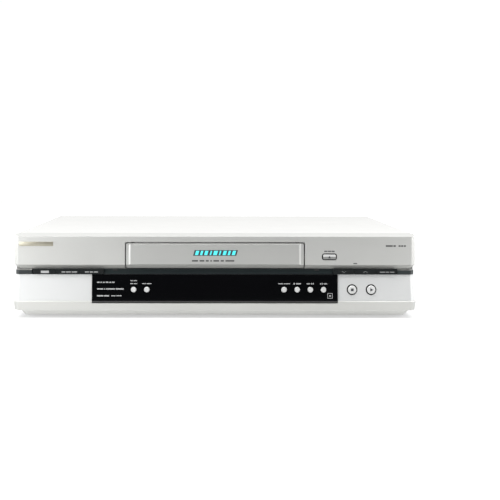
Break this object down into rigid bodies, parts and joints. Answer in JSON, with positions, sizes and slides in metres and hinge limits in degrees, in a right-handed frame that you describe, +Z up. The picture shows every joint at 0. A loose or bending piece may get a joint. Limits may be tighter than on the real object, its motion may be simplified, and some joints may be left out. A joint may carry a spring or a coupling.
{
  "type": "video cassette recorder",
  "caption": "Full-width video cassette recorder with a hinged cassette flap, a dark key strip, a display window with round keys, a front-loading lift and a tape mechanism.",
  "frame": {"origin": "on the floor below the middle of the overall box", "axes": "+X right for someone facing the front, +Y to the rear, +Z up"},
  "size_m": [0.43, 0.288, 0.0895],
  "materials": {
    "silver": "satin silver paint",
    "cover_paint": "fine textured pale paint",
    "black_trim": "satin black",
    "window": "polished dark acrylic",
    "white_keys": "smooth white",
    "zinc_steel": "zinc plated",
    "rear_paint": "black paint",
    "board": "solder mask",
    "dark_parts": "moulded",
    "tube_glass": "clear",
    "rubber": "matte",
    "gilt": "plated",
    "drum_metal": "turned",
    "pale_plastic": "moulded"
  },
  "bodies": {
    "chassis": {"chassis_pan": "zinc_steel", "top_cover": "cover_paint", "rear_panel": "rear_paint", "front_bezel": "silver", "trim_strip": "black_trim", "display_window": "window", "flap_spring": "zinc_steel", "front_board": "board", "key_switches": "dark_parts", "display_tube": "tube_glass", "feet": "rubber", "screws": "zinc_steel", "power_board": "board", "main_board": "board", "board_parts": "dark_parts", "mains_inlet": "dark_parts", "scart_sockets": "dark_parts", "audio_jacks": "gilt", "tuner_can": "zinc_steel", "aerial_sockets": "zinc_steel", "mechanism_deck": "zinc_steel", "lower_drum": "drum_metal", "capstan_housing": "zinc_steel", "drive_belt": "rubber", "tape_heads": "zinc_steel", "loading_motor": "zinc_steel", "lift_frame": "zinc_steel"},
    "eject_button": {"eject_button": "silver"},
    "power_key": {"power_key": "black_trim"},
    "menu_key": {"menu_key": "black_trim"},
    "page_key": {"page_key": "black_trim"},
    "channel_down_key": {"channel_down_key": "black_trim"},
    "channel_up_key": {"channel_up_key": "black_trim"},
    "timer_key": {"timer_key": "black_trim"},
    "quick_button": {"quick_button": "white_keys"},
    "link_button": {"link_button": "white_keys"},
    "check_button": {"check_button": "white_keys"},
    "record_button": {"record_button": "white_keys"},
    "rewind_button": {"rewind_button": "white_keys"},
    "forward_button": {"forward_button": "white_keys"},
    "stop_button": {"stop_button": "silver"},
    "play_button": {"play_button": "silver"},
    "cassette_flap": {"cassette_flap": "silver"},
    "upper_drum": {"upper_drum": "drum_metal"},
    "capstan_rotor": {"capstan_rotor": "zinc_steel"},
    "pinch_arm": {"pinch_arm": "zinc_steel"},
    "pinch_roller": {"pinch_roller": "rubber"},
    "supply_guide": {"supply_guide": "zinc_steel"},
    "takeup_guide": {"takeup_guide": "zinc_steel"},
    "supply_reel": {"supply_reel": "dark_parts"},
    "takeup_reel": {"takeup_reel": "dark_parts"},
    "idler_arm": {"idler_arm": "zinc_steel"},
    "idler_wheel": {"idler_wheel": "rubber"},
    "clutch_wheel": {"clutch_wheel": "dark_parts"},
    "tension_arm": {"tension_arm": "zinc_steel"},
    "motor_pinion": {"motor_pinion": "pale_plastic"},
    "cam_gear": {"cam_gear": "pale_plastic"},
    "lift_sled": {"lift_sled": "pale_plastic"},
    "lift_pinion": {"lift_pinion": "pale_plastic"},
    "cassette_holder": {"cassette_holder": "zinc_steel"}
  },
  "joints": [
    {"name": "eject_press", "type": "slide", "parent": "chassis", "child": "eject_button", "axis": [0, 1, 0], "range_m": [0, 0.0008], "stiffness_N_per_m": 500, "springref_m": -0.0006},
    {"name": "power_press", "type": "slide", "parent": "chassis", "child": "power_key", "axis": [0, 1, 0], "range_m": [0, 0.0008], "stiffness_N_per_m": 500, "springref_m": -0.0006},
    {"name": "menu_press", "type": "slide", "parent": "chassis", "child": "menu_key", "axis": [0, 1, 0], "range_m": [0, 0.0008], "stiffness_N_per_m": 500, "springref_m": -0.0006},
    {"name": "page_press", "type": "slide", "parent": "chassis", "child": "page_key", "axis": [0, 1, 0], "range_m": [0, 0.0008], "stiffness_N_per_m": 500, "springref_m": -0.0006},
    {"name": "channel_down_press", "type": "slide", "parent": "chassis", "child": "channel_down_key", "axis": [0, 1, 0], "range_m": [0, 0.0008], "stiffness_N_per_m": 500, "springref_m": -0.0006},
    {"name": "channel_up_press", "type": "slide", "parent": "chassis", "child": "channel_up_key", "axis": [0, 1, 0], "range_m": [0, 0.0008], "stiffness_N_per_m": 500, "springref_m": -0.0006},
    {"name": "timer_press", "type": "slide", "parent": "chassis", "child": "timer_key", "axis": [0, 1, 0], "range_m": [0, 0.0008], "stiffness_N_per_m": 500, "springref_m": -0.0006},
    {"name": "quick_press", "type": "slide", "parent": "chassis", "child": "quick_button", "axis": [0, 1, 0], "range_m": [0, 0.0008], "stiffness_N_per_m": 500, "springref_m": -0.0006},
    {"name": "link_press", "type": "slide", "parent": "chassis", "child": "link_button", "axis": [0, 1, 0], "range_m": [0, 0.0008], "stiffness_N_per_m": 500, "springref_m": -0.0006},
    {"name": "check_press", "type": "slide", "parent": "chassis", "child": "check_button", "axis": [0, 1, 0], "range_m": [0, 0.0008], "stiffness_N_per_m": 500, "springref_m": -0.0006},
    {"name": "record_press", "type": "slide", "parent": "chassis", "child": "record_button", "axis": [0, 1, 0], "range_m": [0, 0.0008], "stiffness_N_per_m": 500, "springref_m": -0.0006},
    {"name": "rewind_press", "type": "slide", "parent": "chassis", "child": "rewind_button", "axis": [0, 1, 0], "range_m": [0, 0.0008], "stiffness_N_per_m": 500, "springref_m": -0.0006},
    {"name": "forward_press", "type": "slide", "parent": "chassis", "child": "forward_button", "axis": [0, 1, 0], "range_m": [0, 0.0008], "stiffness_N_per_m": 500, "springref_m": -0.0006},
    {"name": "stop_press", "type": "slide", "parent": "chassis", "child": "stop_button", "axis": [0, 1, 0], "range_m": [0, 0.0008], "stiffness_N_per_m": 500, "springref_m": -0.0006},
    {"name": "play_press", "type": "slide", "parent": "chassis", "child": "play_button", "axis": [0, 1, 0], "range_m": [0, 0.0008], "stiffness_N_per_m": 500, "springref_m": -0.0006},
    {"name": "flap_swing", "type": "hinge", "parent": "chassis", "child": "cassette_flap", "pos_m": [0, -0.1391, 0.0832], "axis": [1, 0, 0], "range_deg": [0, 88], "stiffness_Nm_per_rad": 0.01, "springref_deg": -34.38},
    {"name": "drum_spin", "type": "hinge", "parent": "chassis", "child": "upper_drum", "pos_m": [0, 0.052, 0.0274], "axis": [0, 0.0958, 0.9954], "continuous": true},
    {"name": "capstan_spin", "type": "hinge", "parent": "chassis", "child": "capstan_rotor", "pos_m": [0.064, 0.024, 0.0214], "axis": [0, 0, 1], "continuous": true},
    {"name": "clutch_spin", "type": "hinge", "parent": "chassis", "child": "clutch_wheel", "pos_m": [0, -0.02, 0.0214], "axis": [0, 0, 1], "continuous": true},
    {"name": "cam_turn", "type": "hinge", "parent": "chassis", "child": "cam_gear", "pos_m": [-0.062, 0.066, 0.0154], "axis": [0, 0, 1], "range_deg": [0, 150]},
    {"name": "motor_spin", "type": "hinge", "parent": "chassis", "child": "motor_pinion", "pos_m": [-0.0844, 0.066, 0.0154], "axis": [0, 0, 1], "range_deg": [-556, 6]},
    {"name": "pinch_swing", "type": "hinge", "parent": "chassis", "child": "pinch_arm", "pos_m": [0.086, 0.036, 0.0214], "axis": [0, 0, 1], "range_deg": [0, 40]},
    {"name": "pinch_roll", "type": "hinge", "parent": "pinch_arm", "child": "pinch_roller", "pos_m": [0.06984, 0.04188, 0.0214], "axis": [0, 0, 1], "continuous": true},
    {"name": "supply_thread", "type": "slide", "parent": "chassis", "child": "supply_guide", "axis": [-0.306, 0.952, 0], "range_m": [0, 0.05882]},
    {"name": "takeup_thread", "type": "slide", "parent": "chassis", "child": "takeup_guide", "axis": [0.306, 0.952, 0], "range_m": [0, 0.05882]},
    {"name": "supply_spin", "type": "hinge", "parent": "chassis", "child": "supply_reel", "pos_m": [-0.0495, -0.045, 0.0214], "axis": [0, 0, 1], "continuous": true},
    {"name": "takeup_spin", "type": "hinge", "parent": "chassis", "child": "takeup_reel", "pos_m": [0.0495, -0.045, 0.0214], "axis": [0, 0, 1], "continuous": true},
    {"name": "idler_swing", "type": "hinge", "parent": "chassis", "child": "idler_arm", "pos_m": [0, -0.02, 0.0214], "axis": [0, 0, 1], "range_deg": [-22, 22]},
    {"name": "idler_roll", "type": "hinge", "parent": "idler_arm", "child": "idler_wheel", "pos_m": [0, -0.06, 0.0214], "axis": [0, 0, 1], "continuous": true},
    {"name": "tension_swing", "type": "hinge", "parent": "chassis", "child": "tension_arm", "pos_m": [-0.078, 0.024, 0.0214], "axis": [0, 0, 1], "range_deg": [-20, 0], "stiffness_Nm_per_rad": 0.01, "springref_deg": 17.19},
    {"name": "lift_in", "type": "slide", "parent": "chassis", "child": "lift_sled", "axis": [0, 1, 0], "range_m": [0, 0.068]},
    {"name": "lift_turn", "type": "hinge", "parent": "chassis", "child": "lift_pinion", "pos_m": [0.1033, -0.0285, 0.06335], "axis": [1, 0, 0], "range_deg": [-392.61, 3]},
    {"name": "holder_down", "type": "slide", "parent": "lift_sled", "child": "cassette_holder", "axis": [0, 0, -1], "range_m": [0, 0.024]}
  ],
  "couplings": [
    {"joint": "motor_spin", "follows": "cam_turn", "ratio": -3.6667},
    {"joint": "supply_thread", "follows": "cam_turn", "m_per_rad": 0.022468},
    {"joint": "takeup_thread", "follows": "cam_turn", "m_per_rad": 0.022468},
    {"joint": "pinch_swing", "follows": "cam_turn", "ratio": 0.26667},
    {"joint": "clutch_spin", "follows": "capstan_spin", "ratio": 0.53333},
    {"joint": "lift_turn", "follows": "lift_in", "rad_per_m": -100}
  ]
}
